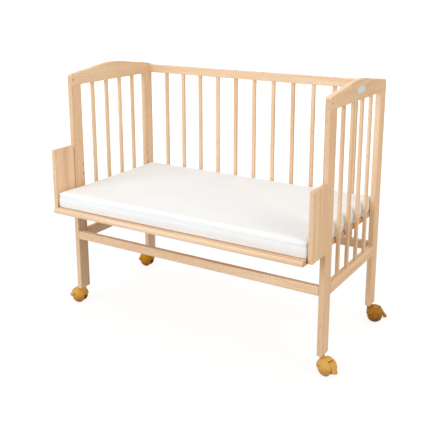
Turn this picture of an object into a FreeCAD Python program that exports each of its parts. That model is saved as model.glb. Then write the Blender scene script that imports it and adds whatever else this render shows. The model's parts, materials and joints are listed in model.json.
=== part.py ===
import FreeCAD, Part
import math
import os

from FreeCAD import Vector

# Bedside sleeper crib: a beech frame, open towards the parents' bed, with a base panel that
# reaches out in front of the front posts, two side boards, a mattress and four braked casters.
# Millimetres.  +Z is up, the back rail is at +Y, the open side faces -Y.
# The origin lies on the floor, under the middle of the plan from the panel's front edge to the
# back casters.

# ---------------------------------------------------------------- driving dimensions
# Frame
LENGTH = 940.0               # over the end panels
FRAME_DEPTH = 441.0          # over the front and back posts
OVERHANG = 114.0             # base panel in front of the front posts
RAIL_THICK = 18.0            # every post and rail
POST_WIDTH = 45.5
POST_LENGTH = 724.0
CASTER_HEIGHT = 60.0         # floor to the posts' feet
CASTER_REACH = 15.0          # how far the back casters stand out behind the frame
EASE = 2.5                   # rounded long edges of the wood
FOOT_CHAMFER = 1.5           # broken edges of each post's foot
SAME_PLACE = 0.001           # two faces or edges this close lie together

END_RAIL_LIFT = 240.0        # floor to the end panels' bottom rails
END_RAIL_HEIGHT = 34.0
CROSS_RAIL_LIFT = 247.0      # floor to the front stretcher and the back bottom rail
CROSS_RAIL_HEIGHT = 28.5
BACK_RAIL_RISE = 2.0         # back top rail above the posts' tops
BACK_RAIL_HEIGHT = 29.0

# Crowned top rail of an end panel
TOP_RAIL_END = 36.5          # height at its ends
TOP_RAIL_CROWN = 60.0        # height at its middle
TOP_RAIL_CORNER = 9.0        # rounded upper corners
TOP_RAIL_SHOULDER = 14.0     # from the end to where the curve starts
# The curve from the shoulder to the middle: (share of the way, share of the rise)
OGEE = ((0.18, 0.27), (0.45, 0.53), (0.73, 0.88))

# Slats
SLAT_WIDTH = 13.0
SLAT_THICK = 10.0
SLAT_EASE = 2.0
END_SLATS = 4
BACK_SLATS = 11
BACK_SLAT_END = 77.0         # from an end panel to the nearest back slat's middle
TENON_DEPTH = 8.0
TENON_SHOULDER = 2.0         # the tenon is this much smaller on each side

# Hidden dowels
DOWEL_RADIUS = 4.0
DOWEL_IN_RAIL = 18.0
DOWEL_IN_POST = 12.0
DOWEL_SPREAD = 7.0           # each way from the middle of a rail's end
TOP_DOWEL_INSETS = (9.0, 25.0)  # from the edge of the post that faces the slats

# Bore through each top rail for the fourth side's screw
GATE_BORE_RADIUS = 3.5
GATE_BORE_RISE = 18.0        # above the underside of the top rail

# Base panel, carried on pegs
PANEL_THICK = 15.0
PANEL_LIFT = 373.0
PANEL_SIDE_GAP = 0.3
PANEL_BACK_GAP = 1.0         # to the back slats
PANEL_NOSE = 5.0             # rounded front edge
VENT_RADIUS = 12.5
VENT_ROWS = 3
VENT_COLUMNS = 7
VENT_PITCH = 110.0           # from row to row
VENT_END = 122.0             # from an end panel to the nearest holes' middles
PEG_RADIUS = 3.0
PEG_INSET = 7.0              # from the edge of the post that faces the slats
PEG_IN_POST = 10.0
PEG_OUT = 12.0
PEG_CLEARANCE = 0.3
HEIGHT_STEPS = 5             # peg holes in each post
HEIGHT_PITCH = 32.0

# Side boards
BOARD_THICK = 15.0
BOARD_LENGTH = 90.4
BOARD_HEIGHT = 204.0
BOARD_DROP = 11.0            # below the top of the panel
BOARD_POST_GAP = 0.3
BOARD_EASE = 2.0
SPACER_THICK = 4.0
SPACER_INSET = 2.5
BOARD_DOWELS = 3
BOARD_DOWEL_RADIUS = 3.0
BOARD_DOWEL_IN_PANEL = 20.0
BOARD_DOWEL_IN_BOARD = 10.0
BOARD_DOWEL_INSET = 12.0     # from the board's ends

# Mattress
MATTRESS_THICK = 50.0
MATTRESS_SIDE_GAP = 1.0      # to the posts
MATTRESS_SETBACK = 22.0      # behind the panel's front edge
MATTRESS_CORNER = 14.0
MATTRESS_EDGE = 6.0
COVER_THICK = 3.0
CORE_GAP = 0.3

# Caster
STEM_RADIUS = 4.0
STEM_IN_POST = 35.0
STEM_IN_HOUSING = 18.0
STEM_FLANGE_RADIUS = 8.0
STEM_FLANGE_THICK = 2.7
RUNNING = 0.05               # radial clearance of a shaft in its bore
THRUST_GAP = 0.3
BOSS_WALL = 2.7
WHEEL_RADIUS = 25.0
WHEEL_WIDTH = 19.0
BALL_RADIUS = 30.0           # rounded outer side of a wheel
WHEEL_GAP = 14.6             # between the two wheels
CHEEK_GAP = 0.6              # from each wheel to the housing between them
WHEEL_RECESS = 8.0
WHEEL_RIM = 4.0
WHEEL_HUB_RADIUS = 6.5
WHEEL_GROOVES = 10
GROOVE_WIDTH = 1.6
GROOVE_DEPTH = 0.7
TREAD_EASE = 1.0
AXLE_RADIUS = 2.5
AXLE_IN_WHEEL = 13.0
TRAIL = 19.0                 # from the stem's axis back to the axle
WEB_THICK = 8.0
WEB_FROM = 60.0              # degrees round the axle, to the hood's end
HOOD_GAP = 1.0               # over the tread
HOOD_THICK = 2.4
HOOD_SIDE_GAP = 1.2          # outside the wheels' rounded sides
HOOD_FROM = 5.0              # degrees round the axle, from the trailing side
HOOD_TO = 170.0
HOOD_GROOVES = (3.0, 9.0)    # on the hood's crown, from its middle
HOOD_SIDE_GROOVES = (37.0, 44.0, 51.0, 58.0)   # on its rounded sides, in degrees
HOOD_SIDE_TO = 64.0
HOOD_SIDE_STEPS = 5
GROOVE_ANGLE = 1.5           # half of a side groove, in degrees
COLLAR_DROP = 26.0           # how far the stem's collar runs down into the hood
WINDOW_FROM = 0.0            # opening in the hood for the pedal
WINDOW_TO = 61.0
WINDOW_DEPTH = 4.0           # inside the tread
PEDAL_WIDTH = 20.0
PEDAL_SIDE_GAP = 0.6
PEDAL_TREAD_GAP = 1.0        # with the brake on
PEDAL_THICK = 2.4
PEDAL_FROM = -20.0
PEDAL_TO = 46.0
PEDAL_TRAVEL = 8.0           # degrees
PIVOT_ANGLE = 49.0
PIVOT_RADIUS = 1.2
PIVOT_STANDOFF = 3.0         # outside the tread
PIVOT_LENGTH = 2.5
PIVOT_WALL = 1.2
TONGUE_LENGTH = 8.0
TONGUE_LIFT = 17.0           # floor to the tip, with the brake on
TONGUE_TIP = 1.2             # half of its thickness at the tip
TONGUE_TIP_WIDTH = 10.0
TONGUE_TIP_ROUND = 1.5
TONGUE_ROOT = (-18.0, 16.0)  # where it leaves the flap, in degrees round the axle

# Direction in which each caster trails, in degrees from +X, seen from above
CASTERS = {
    "left_front": (-1, -1, 188.0),
    "left_back": (-1, 1, 180.0),
    "right_front": (1, -1, -20.0),
    "right_back": (1, 1, 20.0),
}
SIDES = {"left": -1, "right": 1}

# ---------------------------------------------------------------- places worked out from them
HALF = LENGTH / 2
INNER = HALF - RAIL_THICK
POST_X = HALF - RAIL_THICK / 2
PANEL_FRONT = -(FRAME_DEPTH + OVERHANG + CASTER_REACH) / 2
FRONT = PANEL_FRONT + OVERHANG
BACK = FRONT + FRAME_DEPTH
FRONT_POST_EDGE = FRONT + POST_WIDTH
BACK_POST_EDGE = BACK - POST_WIDTH
MIDDLE = (FRONT + BACK) / 2
POST_TOP = CASTER_HEIGHT + POST_LENGTH
BACK_SLAT_Y = BACK - RAIL_THICK / 2
PANEL_HALF = INNER - PANEL_SIDE_GAP
PANEL_TOP = PANEL_LIFT + PANEL_THICK
PANEL_BACK = BACK_SLAT_Y - SLAT_THICK / 2 - PANEL_BACK_GAP
PEG_Z = PANEL_LIFT + PANEL_THICK / 2
PEG_YS = (FRONT_POST_EDGE - PEG_INSET, BACK_POST_EDGE + PEG_INSET)
BOARD_INNER = PANEL_HALF + SPACER_THICK
BOARD_OUTER = BOARD_INNER + BOARD_THICK
BOARD_BACK = FRONT - BOARD_POST_GAP
BOARD_FRONT = BOARD_BACK - BOARD_LENGTH
BOARD_LIFT = PANEL_TOP - BOARD_DROP
WHEEL_IN = WHEEL_GAP / 2
WHEEL_OUT = WHEEL_IN + WHEEL_WIDTH
BALL_MIDDLE = WHEEL_OUT - BALL_RADIUS

X_AXIS = Vector(1, 0, 0)
Y_AXIS = Vector(0, 1, 0)
Z_AXIS = Vector(0, 0, 1)
ORIGIN = Vector(0, 0, 0)


# ---------------------------------------------------------------- helpers
def box(low, high):
    """A box between two opposite corners."""
    corner = Vector(*(min(a, b) for a, b in zip(low, high)))
    size = [abs(b - a) for a, b in zip(low, high)]
    return Part.makeBox(*size, corner)


def rod(start, direction, radius, length):
    return Part.makeCylinder(radius, length, Vector(*start), direction)


def ease(shape, axis, radius):
    """Round the edges that run along an axis."""
    picked = []
    for edge in shape.Edges:
        run = edge.Vertexes[-1].Point - edge.Vertexes[0].Point
        across = run.cross(axis).Length
        if run.Length > SAME_PLACE and across < SAME_PLACE:
            picked.append(edge)
    return shape.makeFillet(radius, picked)


def cut_all(shape, tools):
    return shape.cut(Part.makeCompound(tools)) if tools else shape


def slat_middles(low, high, count):
    """Middles of equal slats with equal gaps between two faces."""
    gap = (high - low - count * SLAT_WIDTH) / (count + 1)
    return [low + gap + SLAT_WIDTH / 2 + i * (gap + SLAT_WIDTH) for i in range(count)]


def revolve_about_axle(points, degrees, start_degrees=0.0):
    """Turn an outline of (radius, y) points about the caster's axle, from the trailing side."""
    wire = Part.makePolygon([Vector(r, y, 0) for r, y in points + points[:1]])
    solid = Part.Face(wire).revolve(ORIGIN, Y_AXIS, degrees)
    # A turn about +Y runs from +X down to -Z, so the sector is turned back to its start
    solid.rotate(ORIGIN, Y_AXIS, -start_degrees - degrees)
    solid.translate(Vector(TRAIL, 0, WHEEL_RADIUS))
    return solid


def axle_point(radius, degrees, y):
    """A point round the axle, at an angle above the trailing side."""
    turn = math.radians(degrees)
    return (TRAIL + radius * math.cos(turn), y, WHEEL_RADIUS + radius * math.sin(turn))


# ---------------------------------------------------------------- joinery shared by two pieces
def end_slat_places():
    return slat_middles(FRONT_POST_EDGE, BACK_POST_EDGE, END_SLATS)


def back_slat_places():
    first = BACK_SLAT_END - INNER
    pitch = -2 * first / (BACK_SLATS - 1)
    return [first + i * pitch for i in range(BACK_SLATS)]


def slat(x, y, along_x, bottom, top):
    """An upright slat with a tenon on each end."""
    width = SLAT_WIDTH / 2
    thick = SLAT_THICK / 2
    half_x, half_y = (width, thick) if along_x else (thick, width)
    body = box((x - half_x, y - half_y, bottom), (x + half_x, y + half_y, top))
    body = ease(body, Z_AXIS, SLAT_EASE)
    tenon_x = half_x - TENON_SHOULDER
    tenon_y = half_y - TENON_SHOULDER
    low = (x - tenon_x, y - tenon_y, bottom - TENON_DEPTH)
    high = (x + tenon_x, y + tenon_y, top + TENON_DEPTH)
    return body.fuse(box(low, high))


def cross_dowels(side, y, z_middle):
    """Two dowels from a cross rail's end into a post or a top rail."""
    start = side * (INNER - DOWEL_IN_RAIL)
    direction = Vector(side, 0, 0)
    length = DOWEL_IN_RAIL + DOWEL_IN_POST
    spread = (-DOWEL_SPREAD, DOWEL_SPREAD)
    return [rod((start, y, z_middle + dz), direction, DOWEL_RADIUS, length) for dz in spread]


def end_rail_dowels(side):
    """The dowels between an end panel's bottom rail and its posts."""
    z_middle = END_RAIL_LIFT + END_RAIL_HEIGHT / 2
    length = DOWEL_IN_RAIL + DOWEL_IN_POST
    dowels = []
    for start, direction in (
        (FRONT_POST_EDGE - DOWEL_IN_POST, Y_AXIS),
        (BACK_POST_EDGE + DOWEL_IN_POST, -Y_AXIS),
    ):
        for dz in (-DOWEL_SPREAD, DOWEL_SPREAD):
            place = (side * POST_X, start, z_middle + dz)
            dowels.append(rod(place, direction, DOWEL_RADIUS, length))
    return dowels


def top_rail_dowels(side):
    """The upright dowels between the posts' tops and the crowned top rail."""
    dowels = []
    length = DOWEL_IN_RAIL + DOWEL_IN_POST
    for inset in TOP_DOWEL_INSETS:
        for y in (FRONT_POST_EDGE - inset, BACK_POST_EDGE + inset):
            place = (side * POST_X, y, POST_TOP - DOWEL_IN_RAIL)
            dowels.append(rod(place, Z_AXIS, DOWEL_RADIUS, length))
    return dowels


def all_cross_dowels(side):
    """The dowels of the three rails that run from end panel to end panel."""
    low = CROSS_RAIL_LIFT + CROSS_RAIL_HEIGHT / 2
    high = POST_TOP + BACK_RAIL_RISE + BACK_RAIL_HEIGHT / 2
    front = FRONT + RAIL_THICK / 2
    places = ((front, low), (BACK_SLAT_Y, low), (BACK_SLAT_Y, high))
    return [dowel for y, z in places for dowel in cross_dowels(side, y, z)]


def dowels_of(side):
    return end_rail_dowels(side) + top_rail_dowels(side) + all_cross_dowels(side)


def peg(side, y, z, radius, in_post):
    """A peg from a post's inner face into the room under the panel's edge."""
    start = side * (INNER - PEG_OUT)
    return rod((start, y, z), Vector(side, 0, 0), radius, PEG_OUT + in_post)


def board_dowels(side):
    """The dowels from the panel's end through the spacer into a side board."""
    first = BOARD_FRONT + BOARD_DOWEL_INSET
    step = (BOARD_LENGTH - 2 * BOARD_DOWEL_INSET) / (BOARD_DOWELS - 1)
    start = side * (PANEL_HALF - BOARD_DOWEL_IN_PANEL)
    length = BOARD_DOWEL_IN_PANEL + SPACER_THICK + BOARD_DOWEL_IN_BOARD
    z = (BOARD_LIFT + PANEL_TOP) / 2
    return [
        rod((start, first + i * step, z), Vector(side, 0, 0), BOARD_DOWEL_RADIUS, length)
        for i in range(BOARD_DOWELS)]


# ---------------------------------------------------------------- frame
def post(side, end):
    """One corner post: end is -1 at the front and 1 at the back."""
    outer = FRONT if end < 0 else BACK
    edge = outer - end * POST_WIDTH
    low = (side * INNER, edge, CASTER_HEIGHT)
    shape = ease(box(low, (side * HALF, outer, POST_TOP)), Z_AXIS, EASE)
    foot = [edge for edge in shape.Edges if edge.BoundBox.ZMax < CASTER_HEIGHT + SAME_PLACE]
    shape = shape.makeChamfer(FOOT_CHAMFER, foot)
    peg_y = PEG_YS[0] if end < 0 else PEG_YS[1]
    holes = []
    for step in range(HEIGHT_STEPS):
        holes.append(peg(side, peg_y, PEG_Z + step * HEIGHT_PITCH, PEG_RADIUS, PEG_IN_POST))
    stem_y = (edge + outer) / 2
    foot_centre = (side * POST_X, stem_y, CASTER_HEIGHT)
    holes.append(rod(foot_centre, Z_AXIS, STEM_RADIUS, STEM_IN_POST))
    return cut_all(shape, holes + dowels_of(side))


def top_rail_outline():
    """Closed outline of an end panel's crowned top rail, in the YZ plane."""
    def point(y, rise):
        return Vector(0, y, POST_TOP + rise)

    start = FRONT + TOP_RAIL_SHOULDER
    climb = TOP_RAIL_CROWN - TOP_RAIL_END
    shares = ((0.0, 0.0),) + OGEE + ((1.0, 1.0),)
    half = [(start + (MIDDLE - start) * s, TOP_RAIL_END + climb * r) for s, r in shares]
    mirrored = [(2 * MIDDLE - y, rise) for y, rise in reversed(half[:-1])]
    crown = Part.BSplineCurve()
    crown.interpolate([point(y, rise) for y, rise in half + mirrored])

    corner_top = TOP_RAIL_END - TOP_RAIL_CORNER
    bend = TOP_RAIL_CORNER * (1 - math.sqrt(0.5))
    front_arc = Part.Arc(
        point(FRONT, corner_top),
        point(FRONT + bend, TOP_RAIL_END - bend),
        point(FRONT + TOP_RAIL_CORNER, TOP_RAIL_END),
    )
    back_arc = Part.Arc(
        point(BACK - TOP_RAIL_CORNER, TOP_RAIL_END),
        point(BACK - bend, TOP_RAIL_END - bend),
        point(BACK, corner_top),
    )
    lines = [
        Part.LineSegment(point(FRONT, 0), point(FRONT, corner_top)),
        front_arc,
        Part.LineSegment(point(FRONT + TOP_RAIL_CORNER, TOP_RAIL_END), point(*half[0])),
        crown,
        Part.LineSegment(point(*mirrored[-1]), point(BACK - TOP_RAIL_CORNER, TOP_RAIL_END)),
        back_arc,
        Part.LineSegment(point(BACK, corner_top), point(BACK, 0)),
        Part.LineSegment(point(BACK, 0), point(FRONT, 0)),
    ]
    return Part.Wire([line.toShape() for line in lines])


def top_rail(side):
    outline = Part.Face(top_rail_outline())
    outline.translate(Vector(side * INNER, 0, 0))
    shape = outline.extrude(Vector(side * RAIL_THICK, 0, 0))
    upper = [
        edge
        for edge in shape.Edges
        if edge.BoundBox.XLength < SAME_PLACE and edge.BoundBox.ZMax > POST_TOP + EASE
    ]
    shape = shape.makeFillet(EASE, upper)
    gate_y = FRONT + RAIL_THICK / 2
    place = (side * INNER, gate_y, POST_TOP + GATE_BORE_RISE)
    holes = [rod(place, Vector(side, 0, 0), GATE_BORE_RADIUS, RAIL_THICK)]
    holes += [end_slat(side, y) for y in end_slat_places()]
    return cut_all(shape, holes + dowels_of(side))


def end_slat(side, y):
    bottom = END_RAIL_LIFT + END_RAIL_HEIGHT
    return slat(side * POST_X, y, False, bottom, POST_TOP)


def end_bottom_rail(side):
    low = (side * INNER, FRONT_POST_EDGE, END_RAIL_LIFT)
    high = (side * HALF, BACK_POST_EDGE, END_RAIL_LIFT + END_RAIL_HEIGHT)
    shape = ease(box(low, high), Y_AXIS, EASE)
    return cut_all(shape, [end_slat(side, y) for y in end_slat_places()] + dowels_of(side))


def cross_rail(y_middle, lift, height, cutters):
    """A rail from end panel to end panel."""
    low = (-INNER, y_middle - RAIL_THICK / 2, lift)
    high = (INNER, y_middle + RAIL_THICK / 2, lift + height)
    shape = ease(box(low, high), X_AXIS, EASE)
    return cut_all(shape, cutters + all_cross_dowels(-1) + all_cross_dowels(1))


def back_slat(x):
    bottom = CROSS_RAIL_LIFT + CROSS_RAIL_HEIGHT
    return slat(x, BACK_SLAT_Y, True, bottom, POST_TOP + BACK_RAIL_RISE)


def caster_stem(side, end):
    """Stem pressed into a post, with the flange that the foot stands on."""
    x = side * POST_X
    y = caster_centre(end)
    length = STEM_IN_POST + STEM_IN_HOUSING
    stem = rod((x, y, CASTER_HEIGHT - STEM_IN_HOUSING), Z_AXIS, STEM_RADIUS, length)
    low = CASTER_HEIGHT - STEM_FLANGE_THICK
    flange = rod((x, y, low), Z_AXIS, STEM_FLANGE_RADIUS, STEM_FLANGE_THICK)
    return stem.fuse(flange)


def caster_centre(end):
    return (FRONT + FRONT_POST_EDGE) / 2 if end < 0 else (BACK + BACK_POST_EDGE) / 2


# ---------------------------------------------------------------- base, boards and mattress
def peg_slot(side, y):
    """Slot in the panel's underside and end, which drops onto a peg."""
    radius = PEG_RADIUS + PEG_CLEARANCE
    end = side * (INNER - PEG_OUT - PEG_CLEARANCE)
    roof = rod((end, y, PEG_Z), Vector(side, 0, 0), radius, PEG_OUT + PEG_CLEARANCE)
    return roof.fuse(box((end, y - radius, PANEL_LIFT), (side * INNER, y + radius, PEG_Z)))


def base_panel():
    low = (-PANEL_HALF, PANEL_FRONT, PANEL_LIFT)
    shape = box(low, (PANEL_HALF, PANEL_BACK, PANEL_TOP))
    front = [edge for edge in shape.Edges if edge.BoundBox.YMax < PANEL_FRONT + SAME_PLACE]
    nose = [edge for edge in front if edge.BoundBox.XLength > PANEL_HALF]
    shape = shape.makeFillet(PANEL_NOSE, nose)
    holes = []
    for side in SIDES.values():
        holes += [peg_slot(side, y) for y in PEG_YS] + board_dowels(side)
    middle_y = (PANEL_FRONT + PANEL_BACK) / 2
    for column in range(VENT_COLUMNS):
        for row in range(VENT_ROWS):
            x = (INNER - VENT_END) * (2 * column / (VENT_COLUMNS - 1) - 1)
            y = middle_y + (row - (VENT_ROWS - 1) / 2) * VENT_PITCH
            holes.append(rod((x, y, PANEL_LIFT), Z_AXIS, VENT_RADIUS, PANEL_THICK))
    return cut_all(shape, holes)


def side_board(side):
    low = (side * BOARD_INNER, BOARD_FRONT, BOARD_LIFT)
    high = (side * BOARD_OUTER, BOARD_BACK, BOARD_LIFT + BOARD_HEIGHT)
    shape = box(low, high)
    shape = shape.makeFillet(BOARD_EASE, shape.Edges)
    return cut_all(shape, board_dowels(side))


def board_spacer(side):
    low = (side * PANEL_HALF, BOARD_FRONT + SPACER_INSET, BOARD_LIFT)
    high = (side * BOARD_INNER, BOARD_BACK - SPACER_INSET, PANEL_TOP)
    return cut_all(box(low, high), board_dowels(side))


def mattress_block(inset):
    """The mattress's outline, drawn in by an inset all round."""
    half = INNER - MATTRESS_SIDE_GAP - inset
    low = (-half, PANEL_FRONT + MATTRESS_SETBACK + inset, PANEL_TOP + inset)
    high = (half, PANEL_BACK - inset, PANEL_TOP + MATTRESS_THICK - inset)
    shape = ease(box(low, high), Z_AXIS, MATTRESS_CORNER - inset)
    flat = [edge for edge in shape.Edges if edge.BoundBox.ZLength < SAME_PLACE]
    return shape.makeFillet(MATTRESS_EDGE - inset, flat)


def mattress_cover():
    return mattress_block(0.0).cut(mattress_block(COVER_THICK))


def mattress_core():
    return mattress_block(COVER_THICK + CORE_GAP)


# ---------------------------------------------------------------- caster, trailing towards +X
def ball(radius):
    """The ball whose cap is a wheel's outer side, or the hood over it."""
    return Part.makeSphere(radius, Vector(TRAIL, BALL_MIDDLE, WHEEL_RADIUS))


def caster_wheel(hand):
    """One of the twin wheels: hand is -1 or 1 along the axle."""
    bore = AXLE_RADIUS + RUNNING
    blind = WHEEL_IN + AXLE_IN_WHEEL + THRUST_GAP
    recess = WHEEL_IN + WHEEL_RECESS
    outline = [
        (0.0, blind),
        (bore, blind),
        (bore, WHEEL_IN),
        (WHEEL_HUB_RADIUS, WHEEL_IN),
        (WHEEL_HUB_RADIUS, recess),
        (WHEEL_RADIUS - WHEEL_RIM, recess),
        (WHEEL_RADIUS - WHEEL_RIM, WHEEL_IN),
        (WHEEL_RADIUS - TREAD_EASE, WHEEL_IN),
        (WHEEL_RADIUS, WHEEL_IN + TREAD_EASE),
        (WHEEL_RADIUS, WHEEL_OUT),
        (0.0, WHEEL_OUT),
    ]
    wheel = revolve_about_axle(outline, 360.0).common(ball(BALL_RADIUS))
    skin = ball(BALL_RADIUS).cut(ball(BALL_RADIUS - GROOVE_DEPTH))
    spokes = []
    for i in range(WHEEL_GROOVES):
        spoke = box(
            (WHEEL_HUB_RADIUS, recess, -GROOVE_WIDTH / 2),
            (WHEEL_RADIUS - WHEEL_RIM, WHEEL_OUT, GROOVE_WIDTH / 2),
        )
        spoke.rotate(ORIGIN, Y_AXIS, i * 360.0 / WHEEL_GROOVES)
        spoke.translate(Vector(TRAIL, 0, WHEEL_RADIUS))
        spokes.append(spoke)
    wheel = wheel.cut(skin.common(Part.makeCompound(spokes)))
    return wheel if hand > 0 else wheel.mirror(ORIGIN, Y_AXIS)


def caster_axle():
    half = WHEEL_IN + AXLE_IN_WHEEL
    return rod(axle_point(0, 0, -half), Y_AXIS, AXLE_RADIUS, 2 * half)


def side_point(radius, degrees):
    """A point of a ball-shaped side: (radius from the axle, y)."""
    turn = math.radians(degrees)
    return (radius * math.cos(turn), BALL_MIDDLE + radius * math.sin(turn))


def shoulder_angle(ball_radius, crown_radius):
    """Where a ball-shaped side meets the straight crown."""
    return math.degrees(math.acos(crown_radius / ball_radius))


def hood_outline():
    """Section of the grooved hood across the wheels, as (radius, y) points."""
    inner = WHEEL_RADIUS + HOOD_GAP
    outer = inner + HOOD_THICK
    ball_inner = BALL_RADIUS + HOOD_SIDE_GAP
    ball_outer = ball_inner + HOOD_THICK
    rib = GROOVE_WIDTH / 2
    half = []
    for y in HOOD_GROOVES:
        half += [(outer, y - rib), (outer - GROOVE_DEPTH, y), (outer, y + rib)]
    half.append(side_point(ball_outer, shoulder_angle(ball_outer, outer)))
    for angle in HOOD_SIDE_GROOVES:
        half.append(side_point(ball_outer, angle - GROOVE_ANGLE))
        half.append(side_point(ball_outer - GROOVE_DEPTH, angle))
        half.append(side_point(ball_outer, angle + GROOVE_ANGLE))
    half.append(side_point(ball_outer, HOOD_SIDE_TO))
    shoulder = shoulder_angle(ball_inner, inner)
    for i in range(HOOD_SIDE_STEPS + 1):
        angle = HOOD_SIDE_TO + (shoulder - HOOD_SIDE_TO) * i / HOOD_SIDE_STEPS
        half.append(side_point(ball_inner, angle))
    return half + [(r, -y) for r, y in reversed(half)]


def pivot_centre(y):
    return axle_point(WHEEL_RADIUS + PIVOT_STANDOFF, PIVOT_ANGLE, y)


def caster_housing():
    hood = revolve_about_axle(hood_outline(), HOOD_TO - HOOD_FROM, HOOD_FROM)
    top = CASTER_HEIGHT - STEM_FLANGE_THICK - THRUST_GAP
    boss_low = CASTER_HEIGHT - STEM_IN_HOUSING - THRUST_GAP - BOSS_WALL
    boss = rod((0, 0, boss_low), Z_AXIS, STEM_RADIUS + BOSS_WALL, top - boss_low)
    collar = rod((0, 0, top - COLLAR_DROP), Z_AXIS, STEM_FLANGE_RADIUS, COLLAR_DROP)
    wheel_room = rod(
        axle_point(0, 0, -WHEEL_OUT), Y_AXIS, WHEEL_RADIUS + HOOD_GAP, 2 * WHEEL_OUT)
    collar = collar.cut(wheel_room)
    cheek = WHEEL_IN - CHEEK_GAP
    axle_boss = rod(axle_point(0, 0, -cheek), Y_AXIS, WHEEL_HUB_RADIUS, 2 * cheek)
    web = revolve_about_axle(
        [(0.0, -WEB_THICK / 2), (0.0, WEB_THICK / 2),
         (WHEEL_RADIUS + HOOD_GAP, WEB_THICK / 2), (WHEEL_RADIUS + HOOD_GAP, -WEB_THICK / 2)],
        HOOD_TO - WEB_FROM, WEB_FROM,
    )
    shape = hood.multiFuse([boss, collar, axle_boss, web])
    # Window for the pedal, then its two pivot bosses
    half_window = PEDAL_WIDTH / 2 + PEDAL_SIDE_GAP
    window_low = WHEEL_RADIUS - WINDOW_DEPTH
    window_high = WHEEL_RADIUS * 2
    window = revolve_about_axle(
        [(window_low, -half_window), (window_high, -half_window),
         (window_high, half_window), (window_low, half_window)],
        WINDOW_TO - WINDOW_FROM, WINDOW_FROM,
    )
    shape = shape.cut(window)
    bosses = []
    for hand in (-1, 1):
        start = pivot_centre(hand * half_window)
        direction = Vector(0, hand, 0)
        bosses.append(rod(start, direction, PIVOT_RADIUS + PIVOT_WALL, PIVOT_LENGTH + PIVOT_WALL))
    shape = shape.multiFuse(bosses)
    pivot_half = half_window + PIVOT_LENGTH
    bores = [
        rod((0, 0, CASTER_HEIGHT - STEM_IN_HOUSING - THRUST_GAP), Z_AXIS,
            STEM_RADIUS + RUNNING, CASTER_HEIGHT),
        rod(axle_point(0, 0, -cheek), Y_AXIS, AXLE_RADIUS, 2 * cheek),
        rod(pivot_centre(-pivot_half), Y_AXIS, PIVOT_RADIUS + RUNNING, 2 * pivot_half),
    ]
    return cut_all(shape, bores)


def tongue(half, inner, outer):
    """The bill that a foot presses: a wedge that narrows towards its tip."""
    root_low, root_high = (
        axle_point(inner + PEDAL_THICK / 2, angle, 0) for angle in TONGUE_ROOT)
    root_x = TRAIL + outer
    tip_x = root_x + TONGUE_LENGTH
    outline = [
        Vector(root_high[0], -half, root_high[2]),
        Vector(tip_x, -half, TONGUE_LIFT + TONGUE_TIP),
        Vector(tip_x, -half, TONGUE_LIFT - TONGUE_TIP),
        Vector(root_low[0], -half, root_low[2]),
    ]
    wedge = Part.Face(Part.makePolygon(outline + outline[:1])).extrude(Vector(0, 2 * half, 0))
    tip_half = TONGUE_TIP_WIDTH / 2
    side = [
        (TRAIL, half),
        (root_x, half),
        (tip_x - TONGUE_TIP_ROUND, tip_half),
        (tip_x, tip_half - TONGUE_TIP_ROUND),
    ]
    plan = [Vector(x, y, 0) for x, y in side + [(x, -y) for x, y in reversed(side)]]
    bill = Part.Face(Part.makePolygon(plan + plan[:1])).extrude(Vector(0, 0, CASTER_HEIGHT))
    return wedge.common(bill)


def brake_pedal():
    """Curved flap with a tongue to tread on, shown with the brake off."""
    half = PEDAL_WIDTH / 2
    inner = WHEEL_RADIUS + PEDAL_TREAD_GAP
    outer = inner + PEDAL_THICK
    flap = revolve_about_axle(
        [(inner, -half), (outer, -half), (outer, half), (inner, half)],
        PEDAL_TO - PEDAL_FROM, PEDAL_FROM,
    )
    barrel = rod(pivot_centre(-half), Y_AXIS, PIVOT_RADIUS + PIVOT_WALL, PEDAL_WIDTH)
    pin_half = half + PEDAL_SIDE_GAP + PIVOT_LENGTH - THRUST_GAP
    pin = rod(pivot_centre(-pin_half), Y_AXIS, PIVOT_RADIUS, 2 * pin_half)
    tyre_room = rod(axle_point(0, 0, -half), Y_AXIS, inner, PEDAL_WIDTH)
    shape = flap.multiFuse([tongue(half, inner, outer)]).cut(tyre_room)
    shape = shape.multiFuse([barrel, pin]).removeSplitter()
    pivot = Vector(*pivot_centre(0))
    shape.rotate(pivot, Y_AXIS, -PEDAL_TRAVEL)
    return shape


def place_caster(shape, side, end, heading):
    placed = shape.copy()
    placed.rotate(ORIGIN, Z_AXIS, heading)
    placed.translate(Vector(side * POST_X, caster_centre(end), 0))
    return placed


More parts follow.
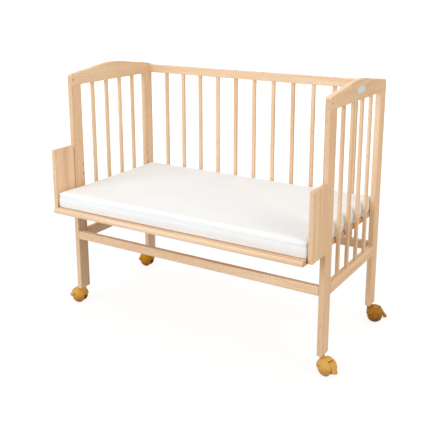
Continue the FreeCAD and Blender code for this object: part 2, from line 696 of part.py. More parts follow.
# ---------------------------------------------------------------- the nodes
def build_nodes():
    nodes = {}
    for name, (side, end, heading) in CASTERS.items():
        nodes[name + "_post"] = post(side, end)
    for name, side in SIDES.items():
        nodes[name + "_top_rail"] = top_rail(side)
        nodes[name + "_bottom_rail"] = end_bottom_rail(side)
        for number, y in enumerate(end_slat_places(), 1):
            nodes[f"{name}_slat_{number}"] = end_slat(side, y)
    back_slats = [back_slat(x) for x in back_slat_places()]
    for number, shape in enumerate(back_slats, 1):
        nodes[f"back_slat_{number}"] = shape
    nodes["back_top_rail"] = cross_rail(
        BACK_SLAT_Y, POST_TOP + BACK_RAIL_RISE, BACK_RAIL_HEIGHT, back_slats)
    nodes["back_bottom_rail"] = cross_rail(
        BACK_SLAT_Y, CROSS_RAIL_LIFT, CROSS_RAIL_HEIGHT, back_slats)
    nodes["front_stretcher"] = cross_rail(
        FRONT + RAIL_THICK / 2, CROSS_RAIL_LIFT, CROSS_RAIL_HEIGHT, [])
    sides = SIDES.values()
    nodes["rail_dowels"] = [dowel for side in sides for dowel in dowels_of(side)]
    nodes["support_pegs"] = [
        peg(side, y, PEG_Z, PEG_RADIUS, PEG_IN_POST) for side in sides for y in PEG_YS]
    nodes["caster_stems"] = [
        caster_stem(side, end) for side, end, heading in CASTERS.values()]

    nodes["base_panel"] = base_panel()
    for name, side in SIDES.items():
        nodes[name + "_side_board"] = side_board(side)
    nodes["board_spacers"] = [board_spacer(side) for side in sides]
    nodes["board_dowels"] = [dowel for side in sides for dowel in board_dowels(side)]
    nodes["mattress_cover"] = mattress_cover()
    nodes["mattress_core"] = mattress_core()

    housing = caster_housing()
    axle = caster_axle()
    wheels = {"wheel_1": caster_wheel(1), "wheel_2": caster_wheel(-1)}
    pedal = brake_pedal()
    for name, (side, end, heading) in CASTERS.items():
        pieces = {"housing": housing, "axle": axle, "brake_pedal": pedal, **wheels}
        for piece, shape in pieces.items():
            nodes[f"{name}_caster_{piece}"] = place_caster(shape, side, end, heading)
    return nodes


def save(name, shape):
    whole = Part.makeCompound(shape) if isinstance(shape, list) else shape
    whole.exportStep(os.path.join("parts", name + ".step"))
    bounds = whole.BoundBox
    state = "" if whole.isValid() else " NOT VALID"
    print(f"{name}: {len(whole.Solids)} solid(s), "
          f"X {bounds.XMin:.1f}..{bounds.XMax:.1f}, Y {bounds.YMin:.1f}..{bounds.YMax:.1f}, "
          f"Z {bounds.ZMin:.1f}..{bounds.ZMax:.1f}{state}")


os.makedirs("parts", exist_ok=True)
for node_name, node_shape in build_nodes().items():
    save(node_name, node_shape)
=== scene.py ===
# %% [markdown]
# # A bedside crib, dressed in Blender
# The crib arrives as a finished construction: every post, slat, dowel and wheel is already in its
# place, in metres, and must stay there.  This lesson adds what the eye judges: beech with its
# grain and flecks, amber plastic, a sewn mattress that swells like a real one, and soft light.
# The first cell loads the construction.

# %% Load the crib
import json
import math

import bmesh
import bpy
from mathutils import Matrix, Vector


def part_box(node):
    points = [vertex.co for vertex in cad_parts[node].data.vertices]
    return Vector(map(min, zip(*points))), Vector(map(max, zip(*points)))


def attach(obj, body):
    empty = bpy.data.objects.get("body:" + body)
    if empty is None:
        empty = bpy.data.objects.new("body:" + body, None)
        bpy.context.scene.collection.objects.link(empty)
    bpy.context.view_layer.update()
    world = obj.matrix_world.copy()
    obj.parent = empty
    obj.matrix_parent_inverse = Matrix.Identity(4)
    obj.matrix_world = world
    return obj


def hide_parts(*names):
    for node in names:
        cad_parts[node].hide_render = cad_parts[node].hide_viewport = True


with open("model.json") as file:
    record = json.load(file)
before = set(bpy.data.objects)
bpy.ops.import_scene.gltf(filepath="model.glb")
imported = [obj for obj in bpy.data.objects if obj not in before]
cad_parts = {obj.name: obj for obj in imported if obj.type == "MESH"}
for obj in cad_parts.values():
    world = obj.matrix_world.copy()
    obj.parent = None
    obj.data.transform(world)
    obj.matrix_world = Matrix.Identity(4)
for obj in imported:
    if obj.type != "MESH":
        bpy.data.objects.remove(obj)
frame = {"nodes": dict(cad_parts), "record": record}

scene = bpy.context.scene
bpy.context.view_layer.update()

# %% [markdown]
# ## Sizes that the construction gives
# Numbers that belong to the crib are read from its own pieces, never typed again.  When the crib
# is rebuilt longer or higher, the mattress, the oval plate and the grain follow it.

# %% Places read from the crib
MM = 0.001
X, Y, Z = 0, 1, 2

cover_low, cover_high = (Vector(corner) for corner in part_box("mattress_cover"))
rail_low, rail_high = (Vector(corner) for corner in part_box("right_top_rail"))
mattress_size = cover_high - cover_low
print("mattress:", [round(v / MM) for v in mattress_size], "mm")

# %% [markdown]
# ## Shader maths as plain expressions
# A shader is a graph of nodes, and arithmetic in it takes one Math node for each sign.  Wrapping
# a socket in a small class lets Python's own operators add those nodes, so that a mask can be
# written as `1 - mask * 0.4`.  Everything that isn't arithmetic goes through one method, `node`,
# which sets a node's options first and its sockets second.  A material and the world are both
# such graphs, so they share it.


# %% Signal: a socket that does arithmetic
class Signal:
    """An output socket of a graph of nodes."""

    def __init__(self, graph, socket):
        self.graph = graph
        self.socket = socket

    def _math(self, operation, *values):
        inputs = dict(enumerate(values))
        return self.graph.node("ShaderNodeMath", {"operation": operation}, inputs)

    def __add__(self, other):
        return self._math("ADD", self, other)

    def __sub__(self, other):
        return self._math("SUBTRACT", self, other)

    def __mul__(self, other):
        return self._math("MULTIPLY", self, other)

    def __truediv__(self, other):
        return self._math("DIVIDE", self, other)

    def __abs__(self):
        return self._math("ABSOLUTE", self)

    def __radd__(self, other):
        return self._math("ADD", other, self)

    def __rsub__(self, other):
        return self._math("SUBTRACT", other, self)

    def __rmul__(self, other):
        return self._math("MULTIPLY", other, self)

    def wave(self):
        return self._math("SINE", self)

    def whole(self):
        return self._math("FLOOR", self)

    def highest(self, other):
        return self._math("MAXIMUM", self, other)

    def above(self, limit):
        return self._math("GREATER_THAN", self, limit)


# %% Graph: a node tree under construction
class Graph:
    """The nodes of a material or of the world."""

    def __init__(self, owner):
        owner.use_nodes = True
        self.tree = owner.node_tree

    def node(self, kind, settings=None, inputs=None, output=0):
        """Add a node: its settings, then the values or links of its sockets."""
        new = self.tree.nodes.new(kind)
        for name, value in (settings or {}).items():
            if name == "stops":
                self._set_stops(new.color_ramp, value)
            else:
                setattr(new, name, value)
        for name, value in (inputs or {}).items():
            if isinstance(value, Signal):
                self.tree.links.new(value.socket, new.inputs[name])
            else:
                new.inputs[name].default_value = value
        return Signal(self, new.outputs[output])

    @staticmethod
    def _set_stops(ramp, stops):
        while len(ramp.elements) < len(stops):
            ramp.elements.new(0.5)
        for element, (place, colour) in zip(ramp.elements, stops):
            element.position = place
            element.color = (*colour, 1.0)

    def output_of(self, name):
        """The first output of a node that the tree starts with."""
        return Signal(self, self.tree.nodes[name].outputs[0])

    def surface(self, output, signal):
        """Link a shader to the tree's own output node."""
        self.tree.links.new(signal.socket, self.tree.nodes[output].inputs["Surface"])

    def seen(self):
        """1 where the eye looks, straight or through a reflection, and 0 for light's own rays."""
        rays = [
            self.node("ShaderNodeLightPath", output=f"Is {kind} Ray")
            for kind in ("Camera", "Glossy", "Transmission")]
        return rays[0].highest(rays[1]).highest(rays[2])


# %% Finish: a material
class Finish(Graph):
    """A procedural material: a Principled shader and the nodes that feed it."""

    def __init__(self, name, **constants):
        self.material = bpy.data.materials.new(name)
        super().__init__(self.material)
        self.shader = self.tree.nodes["Principled BSDF"]
        for socket, value in constants.items():
            self.shader.inputs[socket.replace("_", " ")].default_value = value

    def feed(self, **sockets):
        """Link what changes over the surface to the shader."""
        for name, signal in sockets.items():
            self.tree.links.new(signal.socket, self.shader.inputs[name.replace("_", " ")])

    def coordinates(self, **mapping):
        place = self.node("ShaderNodeTexCoord", output="Object")
        if not mapping:
            return place
        return self.node("ShaderNodeMapping", inputs={"Vector": place, **mapping})

    def distance(self, axis):
        """How far along an axis, 0 to 2, a point of the crib lies."""
        place = {"Vector": self.coordinates()}
        return self.node("ShaderNodeSeparateXYZ", inputs=place, output=axis)

    def noise(self, place, scale, **inputs):
        inputs = {"Vector": place, "Scale": scale, **inputs}
        return self.node("ShaderNodeTexNoise", inputs=inputs)

    def mix(self, factor, first, second):
        """Blend two colours."""
        settings = {"data_type": "RGBA"}
        inputs = {"Factor": factor, 6: first, 7: second}
        return self.node("ShaderNodeMix", settings, inputs, output=2)

    def bump(self, height, depth, strength=1.0):
        """Turn a height from 0 to 1 into a normal, with its depth in metres."""
        inputs = {"Height": height, "Distance": depth, "Strength": strength}
        return self.node("ShaderNodeBump", inputs=inputs)


def colour(red, green, blue):
    """A colour as a shader reads it, from the 0 to 255 that a screen shows."""
    shares = [v / 255 for v in (red, green, blue)]
    return tuple(s / 12.92 if s < 0.04045 else ((s + 0.055) / 1.055) ** 2.4 for s in shares)


print("amber as the shader reads it:", [round(v, 3) for v in colour(190, 130, 45)])

# %% [markdown]
# ## Beech
# The frame is clear-varnished beech.  Close up, beech has three layers: wide soft bands where the
# board was cut through the growth rings, fine straight lines along the grain, and its own mark,
# short brown flecks a few millimetres long.  Its wide boards are glued up from staves, which
# differ a little in tone.  A picture could hold all that, but a pattern in the crib's own
# coordinates needs none and never stretches.  Noise that is squeezed across a board and
# stretched along it gives all three, so each board needs to know which way its grain runs.

# %% Beech colours and scales
BEECH_PALE = colour(246, 220, 193)
BEECH_MIDDLE = colour(237, 206, 174)
BEECH_WARM = colour(228, 190, 154)
BEECH_LINE = colour(210, 168, 126)
BEECH_FLECK = colour(184, 136, 94)
BEECH_END = colour(214, 174, 132)
END_SKIN = 0.5 * MM         # how far the end grain's colour reaches along a board
END_SHARE = 0.6             # how much of that colour shows through the varnish

# How often a pattern repeats in a metre, across the grain and along it
RINGS = (26.0, 1.6)
LINES = (420.0, 7.0)
FLECKS = (900.0, 130.0)
LINES_FROM = 0.52           # only noise above this draws a line
LINES_SHARE = 1.8
FLECKS_FROM = 0.655
FLECKS_SHARE = 0.35
STAVE_WIDTH = 23 * MM       # boards are glued up from staves
STAVE_SPREAD = 0.16
print("a growth band every", round(1 / RINGS[0] / MM), "mm across the grain")


def grain_scale(along, across, length):
    """The scale of a pattern whose long way lies along an axis, 0 to 2."""
    scale = [across] * 3
    scale[along] = length
    return tuple(scale)


# %% Beech, cut along an axis
def beech(name, along, ends, shift, tone, staves_across=None):
    """One board: its grain's axis and ends, where it lay in the trunk, its tone and staves."""
    finish = Finish(name, Specular_IOR_Level=0.3)
    in_the_trunk = [shift, shift * 1.7, -shift]

    def pattern(scales, **inputs):
        scale = grain_scale(along, *scales)
        return finish.noise(
            finish.coordinates(Location=in_the_trunk, Scale=scale), 1.0, **inputs)

    growth = pattern(RINGS, Detail=4.0, Distortion=0.6)
    lines = pattern(LINES, Detail=2.0, Roughness=0.6)
    flecks = pattern(FLECKS, Detail=0.0)
    if staves_across is not None:
        number = (finish.distance(staves_across) / STAVE_WIDTH).whole()
        stave = finish.node(
            "ShaderNodeTexWhiteNoise", {"noise_dimensions": "1D"}, {"W": number}, "Value")
        growth = growth + (stave - 0.5) * STAVE_SPREAD
    stops = [
        (0.30, [v * tone for v in BEECH_WARM]),
        (0.50, [v * tone for v in BEECH_MIDDLE]),
        (0.72, [v * tone for v in BEECH_PALE]),
    ]
    board = finish.node("ShaderNodeValToRGB", {"stops": stops}, {"Fac": growth})
    line_mask = (lines - LINES_FROM).highest(0.0) * LINES_SHARE
    board = finish.mix(line_mask, board, (*BEECH_LINE, 1.0))
    fleck_mask = flecks.above(FLECKS_FROM) * FLECKS_SHARE
    board = finish.mix(fleck_mask, board, (*BEECH_FLECK, 1.0))

    low, high = ends
    from_middle = abs(finish.distance(along) - (low + high) / 2)
    end_mask = from_middle.above((high - low) / 2 - END_SKIN) * END_SHARE
    board = finish.mix(end_mask, board, (*BEECH_END, 1.0))

    finish.feed(
        Base_Color=board,
        Roughness=0.48 + lines * 0.16,
        Normal=finish.bump(lines * 0.5 + fleck_mask, 0.15 * MM, 0.5),
    )
    return finish.material


# %% [markdown]
# Every wooden piece gets its own board.  The golden ratio spreads the shifts and tones evenly
# with no random numbers, so the crib comes out the same each time.

# %% Give each wooden piece its board
GOLDEN = 0.618034
TONE_SPREAD = 0.07
SHIFT = 0.37                # metres between two boards in the trunk


def grain_of(node):
    """The axis along which a piece is longest, and where it starts and ends on it."""
    low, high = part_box(node)
    lengths = [b - a for a, b in zip(low, high)]
    along = lengths.index(max(lengths))
    return along, (low[along], high[along])


def material_nodes(slot):
    """The crib's nodes that share one of the record's finishes."""
    subparts = frame["record"]["subparts"]
    return [part["node"] for part in subparts if part["material_slot"] == slot]


def dress(node, material):
    for slot in frame["nodes"][node].material_slots:
        slot.material = material


GLUED_UP = {"left_side_board": Y, "right_side_board": Y, "base_panel": Y}

wooden = material_nodes("beech")
for number, node in enumerate(wooden):
    share = (number * GOLDEN) % 1.0
    tone = 1.0 + TONE_SPREAD * (share - 0.5)
    dress(node, beech(
        "beech_" + node, *grain_of(node), number * SHIFT, tone, GLUED_UP.get(node)))
print("boards of beech:", len(wooden))

# %% [markdown]
# ## Amber plastic
# The casters are moulded in an amber brown that lets a little light through.  Their colour is
# painted darker towards the floor, which costs nothing to render: painted shade that stands in
# for the light falling from above.  A faint moulding grain keeps the gloss from looking like
# glass.
# The casters stand in different light, so each has its own pair of colours, lit above and painted
# shade below, and the ones at the back are painted darker, as shaded copies of the amber.

# %% Caster plastic
# Painted shade: for each caster a lit colour for the top and a shaded one for the bottom, darker
# at the back, where less light falls
AMBERS_LIT_AND_SHADED = {
    "left_front": (colour(222, 170, 78), colour(176, 96, 16)),
    "right_front": (colour(222, 176, 96), colour(196, 134, 62)),
    "left_back": (colour(208, 140, 14), colour(156, 90, 2)),
    "right_back": (colour(178, 123, 36), colour(110, 64, 6)),
}
CASTER_TOP = 55 * MM        # heights are shares of this, from the painted shade at the floor to the lit top


def amber_plastic_painted_shade(name, light, shaded_below):
    finish = Finish(name, Specular_IOR_Level=0.14, Coat_Weight=0.06, Coat_Roughness=0.1)
    clouds = finish.noise(finish.coordinates(), 60.0)
    grain = finish.noise(finish.coordinates(), 1800.0)
    # Painted shade: the amber darkens from the lit top towards the floor, a little cloudy
    depth = finish.distance(Z) / CASTER_TOP + (clouds - 0.5) * 0.3
    stops = [(0.05, shaded_below), (0.65, light)]
    tint = finish.node("ShaderNodeValToRGB", {"stops": stops}, {"Fac": depth})
    finish.feed(
        Base_Color=tint,
        Roughness=0.24 + clouds * 0.14,
        Normal=finish.bump(grain, 0.05 * MM, 0.3),
    )
    return finish.material


for corner, (light, shaded_below) in AMBERS_LIT_AND_SHADED.items():
    amber = amber_plastic_painted_shade("amber_plastic_" + corner, light, shaded_below)
    moulded = [node for node in material_nodes("caster_plastic") if node.startswith(corner)]
    for node in moulded:
        dress(node, amber)
    print(corner, "caster:", len(moulded), "amber pieces")

# %% [markdown]
# ## Steel, rubber and foam
# The pegs, stems and axles are zinc-plated steel: metallic, with drawing marks along the
# part.  The strips beside the panel are matt black rubber.  The foam core is hidden by its cover
# but is still a real piece, so it gets its open cells too.


# %% Plated steel
def plated_steel():
    finish = Finish("plated_steel", Metallic=1.0)
    marks = finish.noise(finish.coordinates(Scale=(160.0, 1400.0, 1400.0)), 1.0)
    tint = finish.mix(marks, (*colour(168, 170, 174), 1.0), (*colour(206, 207, 210), 1.0))
    finish.feed(
        Base_Color=tint,
        Roughness=0.24 + marks * 0.2,
        Normal=finish.bump(marks, 0.03 * MM, 0.4),
    )
    return finish.material


# %% Rubber strip
def strip_rubber():
    finish = Finish("strip_rubber")
    speckle = finish.noise(finish.coordinates(), 900.0)
    tint = finish.mix(speckle, (*colour(48, 40, 34), 1.0), (*colour(74, 62, 52), 1.0))
    finish.feed(
        Base_Color=tint,
        Roughness=0.7 + speckle * 0.2,
        Normal=finish.bump(speckle, 0.1 * MM, 0.5),
    )
    return finish.material


# %% Open foam
def open_foam():
    finish = Finish("open_foam")
    cells = finish.node(
        "ShaderNodeTexVoronoi", inputs={"Vector": finish.coordinates(), "Scale": 500.0})
    tint = finish.mix(cells, (*colour(246, 238, 210), 1.0), (*colour(214, 200, 160), 1.0))
    finish.feed(
        Base_Color=tint,
        Roughness=0.9 - cells * 0.1,
        Normal=finish.bump(1 - cells, 0.5 * MM, 0.8),
    )
    return finish.material


# %% Dress the small pieces
foam = open_foam()
for slot, material in (
    ("steel", plated_steel()),
    ("spacer_rubber", strip_rubber()),
    ("foam", foam),
):
    for node in material_nodes(slot):
        dress(node, material)
    print(slot, "->", material_nodes(slot))

# %% [markdown]
# ## Cover cloth
# The mattress cover is white knitted cotton.  Its knit is a grid of loops a millimetre wide.  Sine
# waves along the three axes make a grid on every side of the block without any unwrapping: on
# each side one axis stands still and the other two draw the loops.  The cloth is a little greyer
# in the fold along its seam, where less light reaches it.


# %% Jersey
COVER_WHITE = colour(243, 246, 251)
COVER_SHADE = colour(226, 230, 236)
COVER_FOLD = colour(206, 208, 212)
FOLD_SHARE = 0.2            # how much of the fold's grey shows
LOOP_WIDTH = 1.1 * MM
SEAM_HEIGHT = 0.75          # share of the mattress's thickness
SEAM_REACH = 7 * MM
seam_z = cover_low.z + SEAM_HEIGHT * mattress_size.z


def jersey():
    finish = Finish("jersey", Sheen_Weight=0.25, Sheen_Roughness=0.5)
    across, along, up = (
        (finish.distance(axis) * (2 * math.pi / LOOP_WIDTH)).wave() * 0.5 + 0.5
        for axis in (X, Y, Z))
    loops = (across + along + up) / 3.0
    creases = finish.noise(finish.coordinates(), 9.0, Detail=3.0)
    shade = (creases - 0.45).highest(0.0) * 0.5 + (1 - loops) * 0.12
    tint = finish.mix(shade, (*COVER_WHITE, 1.0), (*COVER_SHADE, 1.0))
    fold = (1 - abs(finish.distance(Z) - seam_z) / SEAM_REACH).highest(0.0)
    tint = finish.mix(fold * FOLD_SHARE, tint, (*COVER_FOLD, 1.0))
    finish.feed(
        Base_Color=tint,
        Roughness=0.82 + loops * 0.12,
        Normal=finish.bump(loops * 0.4 + creases, 0.5 * MM, 0.5),
    )
    return finish.material


cover_cloth = jersey()
print("loops across the mattress:", round(mattress_size.x / LOOP_WIDTH))

# %% [markdown]
# ## The mattress
# A foam block in a sewn cover isn't a box: the cover pulls tight, so its faces swell a little, its
# edges round off and its corners pull in.  Modelling that by hand looks stiff.  Instead a slightly
# smaller block is remeshed into an even skin and blown up as cloth for a few frames.  The
# swelling is capped, so that the mattress stays in the space that it has on the panel.


# %% From a bmesh to a piece
def stand(name, shape):
    """Make a finished bmesh an object of the scene."""
    mesh = bpy.data.meshes.new(name)
    shape.to_mesh(mesh)
    shape.free()
    piece = bpy.data.objects.new(name, mesh)
    scene.collection.objects.link(piece)
    return piece


def smooth(piece):
    for polygon in piece.data.polygons:
        polygon.use_smooth = True


# %% A block with rounded corners
START_INSET = 1.2 * MM      # how much smaller the block starts than the cover
CORNER_ROUND = 4 * MM
EDGE_ROUND = 5 * MM


def rounded_block(name, low, high, corner_round, edge_round):
    """A block whose upright edges are rounded first, and then its upper rim."""
    block = bmesh.new()
    bmesh.ops.create_cube(block, size=1.0)
    bmesh.ops.scale(block, vec=high - low, verts=block.verts)
    bmesh.ops.translate(block, vec=(low + high) / 2, verts=block.verts)
    upright = [
        edge for edge in block.edges
        if abs(edge.verts[0].co.z - edge.verts[1].co.z) > (high.z - low.z) / 2]
    bmesh.ops.bevel(
        block, geom=upright, offset=corner_round, segments=5, profile=0.5,
        affect="EDGES", material=-1)
    rims = [
        edge for edge in block.edges
        if edge.calc_face_angle(0.0) > 1.0 and edge.verts[0].co.z > (low.z + high.z) / 2]
    bmesh.ops.bevel(
        block, geom=rims, offset=edge_round, segments=3, profile=0.5,
        affect="EDGES", material=-1)
    return stand(name, block)


def apply_modifiers(piece):
    """Keep the shape that the modifiers give, and drop them."""
    shaped = bpy.data.meshes.new_from_object(
        piece.evaluated_get(bpy.context.evaluated_depsgraph_get()))
    piece.modifiers.clear()
    piece.data = shaped


inset = Vector((START_INSET, START_INSET, START_INSET))
foot = Vector((START_INSET, START_INSET, 0))
mattress = rounded_block(
    "mattress", cover_low + foot, cover_high - inset, CORNER_ROUND, EDGE_ROUND)
print("block:", len(mattress.data.vertices), "vertices")

# %% Blow the cover up as cloth
SKIN = 7 * MM               # the mesh width of the cover
PRESSURE = 4.0
STIFFNESS = 40.0            # of the cloth, both when it is pulled and when it is pushed
LAST_FRAME = 8
SWELL = 3.0 * MM            # the furthest that a point may move


def swell(piece):
    """Remesh a block into an even skin and let cloth under pressure round it."""
    remesh = piece.modifiers.new("skin", "REMESH")
    remesh.mode = "VOXEL"
    remesh.voxel_size = SKIN
    apply_modifiers(piece)
    start = [vertex.co.copy() for vertex in piece.data.vertices]
    cloth = piece.modifiers.new("cover", "CLOTH")
    cloth.settings.use_pressure = True
    cloth.settings.uniform_pressure_force = PRESSURE
    cloth.settings.effector_weights.gravity = 0.0
    cloth.settings.tension_stiffness = STIFFNESS
    cloth.settings.compression_stiffness = STIFFNESS
    cloth.point_cache.frame_end = LAST_FRAME
    for number in range(1, LAST_FRAME + 1):
        scene.frame_set(number)
    apply_modifiers(piece)
    scene.frame_set(1)
    for vertex, home in zip(piece.data.vertices, start):
        move = vertex.co - home
        if move.length > SWELL:
            move.length = SWELL
        vertex.co = home + move
    return max((v.co - home).length for v, home in zip(piece.data.vertices, start))


print("largest move of the cover:", round(swell(mattress) / MM, 2), "mm")

# %% [markdown]
# The mattress has less room beside the posts than in front of them, where it reaches the side
# boards.  A few rules on its points do that: none leaves its room, the lower rim lies flat on the
# panel, and the ends in front of the posts move out towards the boards.

# %% Fit the cover into its room
TOP_RISE = 2 * MM           # how far the top may swell past the plain block
BOARD_AIR = 0.6 * MM        # between the mattress and the side boards
RIM_REACH = 0.8 * SKIN      # points this near to the lower rim belong to it
RIM_HEIGHT = 0.1 * SKIN
ENDS_ONLY = 8               # a power of the share of the length, which leaves the middle alone
post_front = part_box("left_front_post")[0][Y]
board_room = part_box("right_side_board")[0][X] - cover_high.x - BOARD_AIR


def square_up(place):
    """Move a point of the lower rim out to the sides, where the cover rests flat."""
    for axis in (X, Y):
        for side in (cover_low[axis] + START_INSET, cover_high[axis] - START_INSET):
            if abs(place[axis] - side) < RIM_REACH:
                place[axis] = side
                place.z = min(place.z, cover_low.z + RIM_HEIGHT)


def keep_room(piece):
    """Keep the swollen cover off the posts and slats, and let it fill up to the boards."""
    for vertex in piece.data.vertices:
        place = vertex.co
        for axis in (X, Y):
            place[axis] = min(max(place[axis], cover_low[axis]), cover_high[axis])
        place.z = min(max(place.z, cover_low.z), cover_high.z + TOP_RISE)
        if place.z < cover_low.z + RIM_REACH:
            square_up(place)
        ahead = min(max((post_front - place.y) / SKIN - 1, 0), 1)
        end = abs(place.x / cover_high.x) ** ENDS_ONLY
        place.x += math.copysign(board_room * ahead, place.x) * end


keep_room(mattress)
print("room up to a side board:", round(board_room / MM, 2), "mm")

# %% [markdown]
# The cover closes with a seam round its sides, at three quarters of its height.  In the
# photograph it shows as a soft grey line.  The skin is drawn in along it, and then the cut of a
# level plane through the swollen cover gives the exact path of the cord that is sewn into it.

# %% Draw the skin in along the seam
SEAM_DEPTH = 2.0 * MM
SIDE_BAND = 20 * MM         # the sides are looked for this near to the mattress's outline
TUCK_DEPTH = 3 * MM         # below the seam, each corner is folded in
TUCK_REACH = 40 * MM
CORNER_PULL = 3 * MM        # and the seam pulls it in
PULL_REACH = 12 * MM
mattress_middle = (cover_low + cover_high) / 2


def near_side(point):
    """True on the mattress's sides, away from its top and bottom."""
    reach = mattress_size / 2 - Vector((SIDE_BAND, SIDE_BAND, 0))
    away = point - mattress_middle
    return abs(away.x) > reach.x or abs(away.y) > reach.y


def fade(distance, reach):
    """1 at a line, 0 beyond its reach, and smooth between."""
    share = min(abs(distance) / reach, 1.0)
    return (1 + math.cos(math.pi * share)) / 2


def draw_in(piece):
    """Pull a band of the side skin inwards along its normals, and fold the corners in."""
    skin = bmesh.new()
    skin.from_mesh(piece.data)
    skin.normal_update()
    for vertex in skin.verts:
        place = vertex.co
        if near_side(place):
            sideways = Vector((vertex.normal.x, vertex.normal.y, 0))
            vertex.co -= sideways * SEAM_DEPTH * fade(place.z - seam_z, SEAM_REACH)
        below = min(max((seam_z - place.z) / (seam_z - cover_low.z), 0.0), 1.0)
        corner = Vector((
            mattress_size.x / 2 - abs(place.x - mattress_middle.x),
            mattress_size.y / 2 - abs(place.y - mattress_middle.y)))
        tuck = TUCK_DEPTH * below + CORNER_PULL * fade(place.z - seam_z, PULL_REACH)
        tuck *= fade(corner.length, TUCK_REACH)
        inwards = Vector((mattress_middle.x - place.x, mattress_middle.y - place.y, 0))
        vertex.co += Vector((math.copysign(tuck, inwards.x), math.copysign(tuck, inwards.y), 0))
    skin.to_mesh(piece.data)
    skin.free()


draw_in(mattress)
finer = mattress.modifiers.new("finer", "SUBSURF")
finer.levels = finer.render_levels = 1
smooth(mattress)
print("seam height:", round(seam_z / MM, 1), "mm")


# %% Piping along the seam
PIPING_RADIUS = 1.3 * MM


def piping(source):
    """A cord that follows the cut of a level plane through the cover."""
    evaluated = source.evaluated_get(bpy.context.evaluated_depsgraph_get())
    path = bmesh.new()
    path.from_mesh(evaluated.to_mesh())
    cut = path.verts[:] + path.edges[:] + path.faces[:]
    bmesh.ops.bisect_plane(
        path, geom=cut, plane_co=(0, 0, seam_z), plane_no=(0, 0, 1),
        clear_inner=True, clear_outer=True)
    cord = stand("mattress_piping", path)
    with bpy.context.temp_override(
        object=cord, active_object=cord, selected_objects=[cord],
        selected_editable_objects=[cord],
    ):
        bpy.ops.object.convert(target="CURVE")
        cord.data.bevel_depth = PIPING_RADIUS
        cord.data.bevel_resolution = 2
        bpy.ops.object.convert(target="MESH")
    return cord


seam_cord = piping(mattress)
smooth(seam_cord)
print("piping:", seam_cord.type, len(seam_cord.data.polygons), "faces")

# %% [markdown]
# The foam core is hidden in its cover, and stays a piece of its own.  The folded corners would
# cut into the plain core, so a copy with rounder corners takes its place.

# %% Foam core
CORE_ROUND = 14 * MM
CORE_INSET = Vector((7, 7, 3.3)) * MM
core_low = cover_low + CORE_INSET
core_high = cover_high - CORE_INSET
foam_core = rounded_block("foam_core", core_low, core_high, CORE_ROUND, EDGE_ROUND)
foam_core.data.materials.append(foam)
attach(foam_core, "base")
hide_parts("mattress_core")
print("core:", [round(v / MM) for v in core_high - core_low], "mm")

# %% The mattress takes its place
for piece in (mattress, seam_cord):
    piece.data.materials.clear()
    piece.data.materials.append(cover_cloth)
    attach(piece, "base")
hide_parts("mattress_cover")
print("mattress top:", round(max(v.co.z for v in mattress.data.vertices) / MM, 1), "mm")

# %% [markdown]
# ## The oval plate
# A small pale blue oval sits on the outside of the right top rail.  It stays blank here: a thin
# domed plate whose blue darkens from the middle out, with a painted highlight: its rim is painted
# near white.  A disc of one face is enough to start from; insets give the rim, and lifting the
# middle gives the dome.

# %% A blank oval
PLATE_LENGTH = 62 * MM
PLATE_HEIGHT = 21 * MM
PLATE_THICK = 0.8 * MM
PLATE_EDGE = 0.6 * PLATE_THICK
PLATE_RIM = 2.2 * MM
PLATE_RISE = 30 * MM        # above the underside of the rail
LEVEL_TO_UPRIGHT = Matrix(((0, 0, 1, 0), (1, 0, 0, 0), (0, 1, 0, 0), (0, 0, 0, 1)))


def oval_plate():
    """Model the plate lying level, then stand it against the rail."""
    plate = bmesh.new()
    bmesh.ops.create_circle(plate, cap_ends=True, radius=0.5, segments=64)
    bmesh.ops.scale(plate, vec=(PLATE_LENGTH, PLATE_HEIGHT, 1.0), verts=plate.verts)
    body = bmesh.ops.extrude_face_region(plate, geom=plate.faces[:])["geom"]
    raised = [item for item in body if isinstance(item, bmesh.types.BMVert)]
    bmesh.ops.translate(plate, vec=(0, 0, PLATE_EDGE), verts=raised)
    top = max(plate.faces, key=lambda face: face.calc_center_median().z)
    bmesh.ops.inset_region(plate, faces=[top], thickness=PLATE_RIM)
    bmesh.ops.translate(plate, vec=(0, 0, PLATE_THICK - PLATE_EDGE), verts=top.verts)
    bmesh.ops.recalc_face_normals(plate, faces=plate.faces)
    bmesh.ops.transform(plate, matrix=LEVEL_TO_UPRIGHT, verts=plate.verts)
    place = Vector((rail_high.x, (rail_low.y + rail_high.y) / 2, rail_low.z + PLATE_RISE))
    bmesh.ops.translate(plate, vec=place, verts=plate.verts)
    return stand("oval_plate", plate), place


plate, plate_place = oval_plate()
print("plate at:", [round(v / MM) for v in plate_place])


# %% Pale blue plastic for the oval, with a painted highlight on its rim
def plate_with_painted_highlight(place):
    finish = Finish("plate_with_painted_highlight", Roughness=0.35, Coat_Weight=0.3)
    scale = (0.0, 2 / PLATE_LENGTH, 2 / PLATE_HEIGHT)
    shift = (0.0, -place.y * scale[1], -place.z * scale[2])
    oval = finish.coordinates(Location=shift, Scale=scale)
    reach = finish.node("ShaderNodeVectorMath", {"operation": "LENGTH"}, {0: oval}, "Value")
    # The blue darkens from the middle out, and the near-white last stop is a painted highlight on
    # the rim
    stops = [
        (0.0, colour(190, 222, 232)),
        (0.70, colour(176, 213, 226)),
        (0.84, colour(150, 196, 214)),
        (0.86, colour(232, 242, 245)),
    ]
    tint = finish.node("ShaderNodeValToRGB", {"stops": stops}, {"Fac": reach})
    finish.feed(Base_Color=tint)
    return finish.material


plate.data.materials.append(plate_with_painted_highlight(plate_place))
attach(plate, "frame")
print("plate faces:", len(plate.data.polygons))

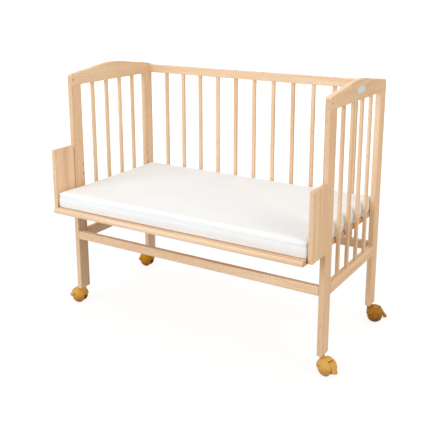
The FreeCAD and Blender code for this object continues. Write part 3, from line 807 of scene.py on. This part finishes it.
# %% [markdown]
# ## Floor and light
# The photograph was taken in a white studio: no horizon, hardly a shadow, and even light that is
# a little stronger from the front left and above.  A world of pale warm light does most of it,
# and shows plain white where it is seen.  The floor is white to the camera but keeps a faint
# shadow, because part of what the camera sees near the crib is its lit surface.  The lamps from
# the front and above are a touch cool and the fill from the right is warm, which deepens the
# beech on its shaded sides as the photograph does.


# %% White floor
FLOOR_SIZE = 14.0
FLOOR_LIT_SHARE = 0.30
FLOOR_GLOW = 1.25
FLOOR_GREY = 0.56           # a darker floor throws less light up at the crib
SHADOW_ROOM = (1.0, 2.6)    # the shadow fades out between these distances


def studio_floor():
    sheet = bmesh.new()
    bmesh.ops.create_grid(sheet, x_segments=1, y_segments=1, size=FLOOR_SIZE / 2)
    floor = stand("studio_floor", sheet)
    grey = (FLOOR_GREY, FLOOR_GREY, FLOOR_GREY, 1.0)
    finish = Finish("studio_floor", Roughness=0.9, Base_Color=grey)
    glow = finish.node("ShaderNodeEmission", inputs={"Strength": FLOOR_GLOW})
    away = finish.node(
        "ShaderNodeVectorMath", {"operation": "LENGTH"}, {0: finish.coordinates()}, "Value")
    near, far = SHADOW_ROOM
    faded = ((away - near) / (far - near)).highest(0.0)
    lit = (1 - faded).highest(0.0) * FLOOR_LIT_SHARE
    layers = {"Fac": finish.seen() * (1 - lit), 1: finish.output_of("Principled BSDF"), 2: glow}
    finish.surface("Material Output", finish.node("ShaderNodeMixShader", inputs=layers))
    floor.data.materials.append(finish.material)
    return floor


floor = studio_floor()
print("floor:", FLOOR_SIZE, "m square")

# %% World
WORLD_LIGHT = 0.58
WORLD_TINT = (1.0, 0.95, 0.88, 1.0)


def white_world():
    """Soft light for the crib, and plain white for whatever sees the world."""
    world = bpy.data.worlds.new("white_studio")
    graph = Graph(world)
    light = graph.tree.nodes["Background"]
    light.inputs["Color"].default_value = WORLD_TINT
    light.inputs["Strength"].default_value = WORLD_LIGHT
    white = graph.node("ShaderNodeBackground", inputs={"Color": (1.0, 1.0, 1.0, 1.0)})
    layers = {"Fac": graph.seen(), 1: graph.output_of("Background"), 2: white}
    graph.surface("World Output", graph.node("ShaderNodeMixShader", inputs=layers))
    return world


scene.world = white_world()
print("world strength:", WORLD_LIGHT)


# %% Lamps
WARM = (1.0, 0.80, 0.46)
COOL = (0.92, 0.965, 1.0)


def soft_lamp(name, place, aim, width, power, tint):
    """A square area lamp that looks at a point."""
    light = bpy.data.lights.new(name, "AREA")
    light.size = width
    light.energy = power
    light.color = tint
    lamp = bpy.data.objects.new(name, light)
    scene.collection.objects.link(lamp)
    lamp.location = place
    lamp.rotation_euler = (Vector(aim) - Vector(place)).to_track_quat("-Z", "Y").to_euler()


crib_middle = (0.0, 0.0, 0.45)
soft_lamp("key", (-1.4, -3.4, 1.9), crib_middle, 2.2, 72.0, COOL)
soft_lamp("overhead", (0.2, 0.3, 3.4), crib_middle, 2.6, 22.0, COOL)
soft_lamp("right_fill", (3.6, -1.0, 2.3), crib_middle, 1.6, 38.0, WARM)
soft_lamp("back_fill", (-1.2, 3.2, 2.2), crib_middle, 1.8, 14.0, COOL)

# %% [markdown]
# ## Camera
# The camera stands where the photographer's did.  Its place and lens were worked out from the
# crib's own edges in the photograph.  The photograph keeps upright lines nearly parallel, which a
# raised lens shift does; only a small one is used, so that the crib stays in view from all sides.

# %% Camera
CAMERA_PLACE = Vector((1.200, -1.928, 1.112))
CAMERA_YAW = math.radians(31.49)
CAMERA_PITCH = math.radians(-13.843)
CAMERA_LENS = 58.64
CAMERA_SHIFT_Y = -0.136

camera_data = bpy.data.cameras.new("camera")
camera_data.lens = CAMERA_LENS
camera_data.shift_y = CAMERA_SHIFT_Y
camera = bpy.data.objects.new("camera", camera_data)
camera.location = CAMERA_PLACE
camera.rotation_euler = (math.pi / 2 + CAMERA_PITCH, 0.0, CAMERA_YAW)
scene.collection.objects.link(camera)
scene.camera = camera
scene.view_settings.view_transform = "Standard"
print("lens:", camera_data.lens, "mm")
